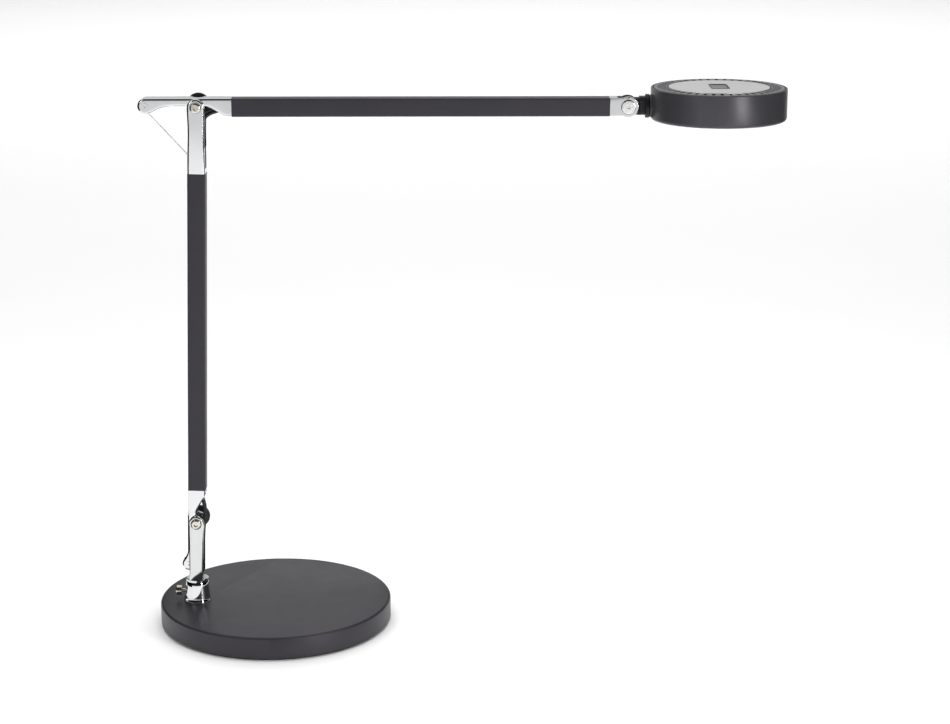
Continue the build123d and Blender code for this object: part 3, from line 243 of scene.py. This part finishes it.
# ------------------------------------------------------------------ wires and leads
def tube_object(name, routes, radius, mat, order=4, samples=12, poly=False):
    """A mesh tube, or several side by side, swept along smooth routes."""
    curve = bpy.data.curves.new(name + "_line", "CURVE")
    curve.dimensions = "3D"
    curve.bevel_depth = radius
    curve.bevel_resolution = 4
    curve.resolution_u = samples
    curve.use_fill_caps = True
    for route in routes:
        spline = curve.splines.new("POLY" if poly else "NURBS")
        spline.points.add(len(route) - 1)
        for point, place in zip(spline.points, route):
            point.co = (*place, 1.0)
        if not poly:
            spline.order_u = order
            spline.use_endpoint_u = True
    holder = bpy.data.objects.new(name + "_curve", curve)
    bpy.context.scene.collection.objects.link(holder)
    bpy.context.view_layer.update()
    mesh = bpy.data.meshes.new_from_object(holder.evaluated_get(bpy.context.evaluated_depsgraph_get()))
    bpy.data.objects.remove(holder)
    mesh.name = name
    mesh.materials.clear()
    mesh.materials.append(mat)
    for p in mesh.polygons:
        p.use_smooth = True
    piece = bpy.data.objects.new(name, mesh)
    bpy.context.scene.collection.objects.link(piece)
    return piece


def strands(centre_line, count, offset, pitch, step):
    """Helical strands round a centre line given as a function of distance."""
    length, at = centre_line
    routes = []
    for k in range(count):
        route = []
        n = int(length / step)
        for i in range(n + 1):
            s = length * i / n
            place, along = at(s)
            side = Vector((0, 1, 0))
            up = along.cross(side).normalized()
            turn = 2 * math.pi * (s / pitch + k / count)
            route.append(place + (side * math.cos(turn) + up * math.sin(turn)) * offset)
        routes.append(route)
    return routes


ARC = math.radians(80)
LEAVE = WIRE_ANGLE - math.pi / 2


def wire_line(first, last):
    """The balance wire: round the roller up to the tangent point, then straight. Distance 0 is the tangent point."""
    def at(s):
        s = first + s
        if s < 0:
            phi = LEAVE + s / WIRE_RUN
            place = ROLLER + Vector((math.cos(phi), 0, math.sin(phi))) * WIRE_RUN
            return place, Vector((-math.sin(phi), 0, math.cos(phi)))
        tangent = ROLLER + Vector((math.cos(LEAVE), 0, math.sin(LEAVE))) * WIRE_RUN
        return tangent + WIRE_DIR * s, WIRE_DIR
    return last - first, at


balance_wire = tube_object("balance_wire_strands", strands(wire_line(-ARC * WIRE_RUN, 0.0438), 3, 0.00024, 0.0052, 0.0004), 0.00023, M["wire_steel"], poly=True)
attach(balance_wire, "balance_wire")
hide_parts("elbow_wire")

wire_end = tube_object("balance_wire_end_strands", strands(wire_line(0.0182, 0.0610), 3, 0.00023, 0.0052, 0.0004), 0.00022, M["wire_steel"], poly=True)
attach(wire_end, "balance_wire_end")
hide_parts("elbow_wire_core")

def side_by_side(points, gap):
    """Two routes either side of one centre route, in the plane of the arms."""
    routes = []
    for side in (-1, 1):
        route = []
        for i, place in enumerate(points):
            along = (points[min(i + 1, len(points) - 1)] - points[max(i - 1, 0)]).normalized()
            route.append(place + along.cross(Vector((0, 1, 0))) * side * gap)
        routes.append(route)
    return routes


ELBOW_ROUTE = [upper(1.6, -33.0, -2.8), upper(1.8, -26.0, -2.8), upper(2.2, -17.0, -2.8), upper(4.6, -9.6, -2.8), upper(9.4, -5.4, -2.8), upper(18.0, -2.6, -2.8), upper(24.5, -1.4, -2.8), upper(30.4, -0.6, -2.8)]
elbow_lead = tube_object("elbow_lead_sheath", side_by_side(ELBOW_ROUTE, 0.00150), 0.0016, M["lead_black"])
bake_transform(elbow_lead)
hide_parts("elbow_lead")

shoulder_lead = tube_object("shoulder_lead_sheath", [[post(-47.1, 1.6), post(-43.0, -1.2), post(-38.0, -2.6), post(-26.0, -3.0), post(-14.0, -3.4), post(-7.0, -5.0), post(0.0, -6.7), post(8.0, -7.3), post(15.0, -7.2), post(23.0, -5.0), post(30.0, -3.2), post(36.0, -3.0)]], 0.0019, M["lead_black"])
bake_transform(shoulder_lead)
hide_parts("shoulder_lead")

shoulder_wire = tube_object("shoulder_wire_run", [[lower(-42.9, 5.3), lower(-44.2, 5.0), lower(-45.5, 4.7), lower(-46.7, 4.4)]], 0.00035, M["wire_steel"], order=3)
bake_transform(shoulder_wire)
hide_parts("shoulder_wire")


# ------------------------------------------------------------------ studio
def sheet_of(name, corners, mat):
    mesh = bpy.data.meshes.new(name)
    mesh.from_pydata(corners, [], [(0, 1, 2, 3)])
    mesh.materials.append(mat)
    obj = bpy.data.objects.new(name, mesh)
    bpy.context.scene.collection.objects.link(obj)
    return obj


floor_mat = surface("pale_floor", (0.90, 0.90, 0.90), 0.6, vary=0.004, rough_vary=0.02, patch=2, grain_strength=0, specular=0.1)
sheet_of("floor", [(-30, -30, -0.0002), (30, -30, -0.0002), (30, 30, -0.0002), (-30, 30, -0.0002)], floor_mat)

card_mat = surface("dark_card", (0.004, 0.004, 0.004), 0.9, vary=0.1, patch=5, grain_strength=0, specular=0.0)
for name, corners in (
    ("card_left", [(-0.62, -0.55, 0.05), (-0.62, 0.75, 0.05), (-0.62, 0.75, 1.0), (-0.62, -0.55, 1.0)]),
    ("card_right", [(0.95, 0.75, 0.05), (0.95, -0.35, 0.05), (0.95, -0.35, 1.0), (0.95, 0.75, 1.0)]),
    ("card_near_right", [(0.118, 0.25, 0.028), (0.118, -0.115, 0.028), (0.118, -0.115, 0.090), (0.118, 0.25, 0.090)]),
    ("card_near_left", [(-0.125, 0.25, 0.028), (-0.125, -0.062, 0.028), (-0.125, -0.062, 0.090), (-0.125, 0.25, 0.090)]),
    ("card_left_front", [(-0.62, -0.55, 0.12), (-0.42, -0.70, 0.12), (-0.42, -0.70, 0.60), (-0.62, -0.55, 0.60)]),
    ("card_right_front", [(0.95, -0.35, 0.05), (0.75, -0.80, 0.05), (0.75, -0.80, 0.36), (0.95, -0.35, 0.36)]),
):
    card = sheet_of(name, corners, card_mat)
    card.visible_camera = False
    card.visible_diffuse = False
    card.visible_shadow = False
    card.visible_transmission = False


def softbox(name, place, target, size, power, colour=(1, 1, 1)):
    data = bpy.data.lights.new(name, "AREA")
    data.shape = "RECTANGLE"
    data.size, data.size_y = size
    data.energy = power
    data.color = colour
    obj = bpy.data.objects.new(name, data)
    bpy.context.scene.collection.objects.link(obj)
    obj.location = place
    obj.rotation_mode = "QUATERNION"
    obj.rotation_quaternion = (Vector(target) - Vector(place)).to_track_quat("-Z", "Y")
    obj.visible_camera = False
    return obj


overhead = softbox("overhead", (0.15, -0.05, 2.0), (0.15, 0.0, 0.0), (1.8, 1.4), 24)
overhead.visible_glossy = False
softbox("right_front", (1.14, -1.08, 0.5), (0.4, 0.0, 0.35), (0.30, 0.9), 9.5)
softbox("left_front", (-1.3, -1.5, 1.2), (0.0, 0.0, 0.25), (0.8, 1.0), 8)

backdrop = softbox("backdrop", (0.3, 4.5, 2.5), (0.3, 4.5, 0.0), (6.0, 5.0), 125)
backdrop.visible_glossy = False
foreground = softbox("foreground", (0.3, -4.5, 2.5), (0.3, -4.5, 0.0), (6.0, 5.0), 80)
foreground.visible_glossy = False

world = bpy.data.worlds.new("studio")
bpy.context.scene.world = world
world.use_nodes = True
wt = world.node_tree
wt.nodes.clear()
w_out = wt.nodes.new("ShaderNodeOutputWorld")
w_bg = wt.nodes.new("ShaderNodeBackground")
wt.links.new(w_bg.outputs[0], w_out.inputs[0])
w_coord = wt.nodes.new("ShaderNodeTexCoord")
w_sep = wt.nodes.new("ShaderNodeSeparateXYZ")
wt.links.new(w_coord.outputs["Generated"], w_sep.inputs[0])
w_ramp = wt.nodes.new("ShaderNodeValToRGB")
ramp = w_ramp.color_ramp
ramp.elements[0].position = 0.0
ramp.elements[0].color = (0.85, 0.85, 0.85, 1)
ramp.elements[1].position = 1.0
ramp.elements[1].color = (0.9, 0.9, 0.9, 1)
for position, level in ((0.5, 0.85), (0.53, 0.62), (0.66, 0.60), (0.82, 0.8)):
    e = ramp.elements.new(position)
    e.color = (level, level, level, 1)
w_half = wt.nodes.new("ShaderNodeMapRange")
w_half.inputs["From Min"].default_value = -1
w_half.inputs["From Max"].default_value = 1
wt.links.new(w_sep.outputs["Z"], w_half.inputs["Value"])
wt.links.new(w_half.outputs["Result"], w_ramp.inputs["Fac"])
# the studio behind the camera is dark above the floor
w_front = wt.nodes.new("ShaderNodeMapRange")
w_front.interpolation_type = "SMOOTHSTEP"
w_front.inputs["From Min"].default_value = 0.06
w_front.inputs["From Max"].default_value = -0.2
wt.links.new(w_sep.outputs["Y"], w_front.inputs["Value"])
w_above = wt.nodes.new("ShaderNodeMapRange")
w_above.interpolation_type = "SMOOTHSTEP"
w_above.inputs["From Min"].default_value = -0.01
w_above.inputs["From Max"].default_value = 0.06
wt.links.new(w_sep.outputs["Z"], w_above.inputs["Value"])
w_both = wt.nodes.new("ShaderNodeMath")
w_both.operation = "MULTIPLY"
wt.links.new(w_front.outputs["Result"], w_both.inputs[0])
wt.links.new(w_above.outputs["Result"], w_both.inputs[1])
w_mix = wt.nodes.new("ShaderNodeMix")
w_mix.data_type = "RGBA"
wt.links.new(w_both.outputs[0], w_mix.inputs["Factor"])
wt.links.new(w_ramp.outputs["Color"], w_mix.inputs["A"])
w_mix.inputs["B"].default_value = (0.02, 0.02, 0.022, 1)
wt.links.new(w_mix.outputs["Result"], w_bg.inputs["Color"])
w_bg.inputs["Strength"].default_value = 1.0

bpy.context.scene.view_settings.view_transform = "Standard"
bpy.context.scene.view_settings.look = "None"

# ------------------------------------------------------------------ camera
cam_data = bpy.data.cameras.new("camera")
cam_data.sensor_width = 36
cam_data.lens = 2225.25 * 36 / 950
cam_data.clip_start = 0.05
cam_data.clip_end = 100
cam = bpy.data.objects.new("camera", cam_data)
bpy.context.scene.collection.objects.link(cam)
cam.location = (0.1634, -1.9373, 0.7453)
cam.rotation_euler = (math.pi / 2 - 0.2531, 0, -0.0104)
bpy.context.scene.camera = cam
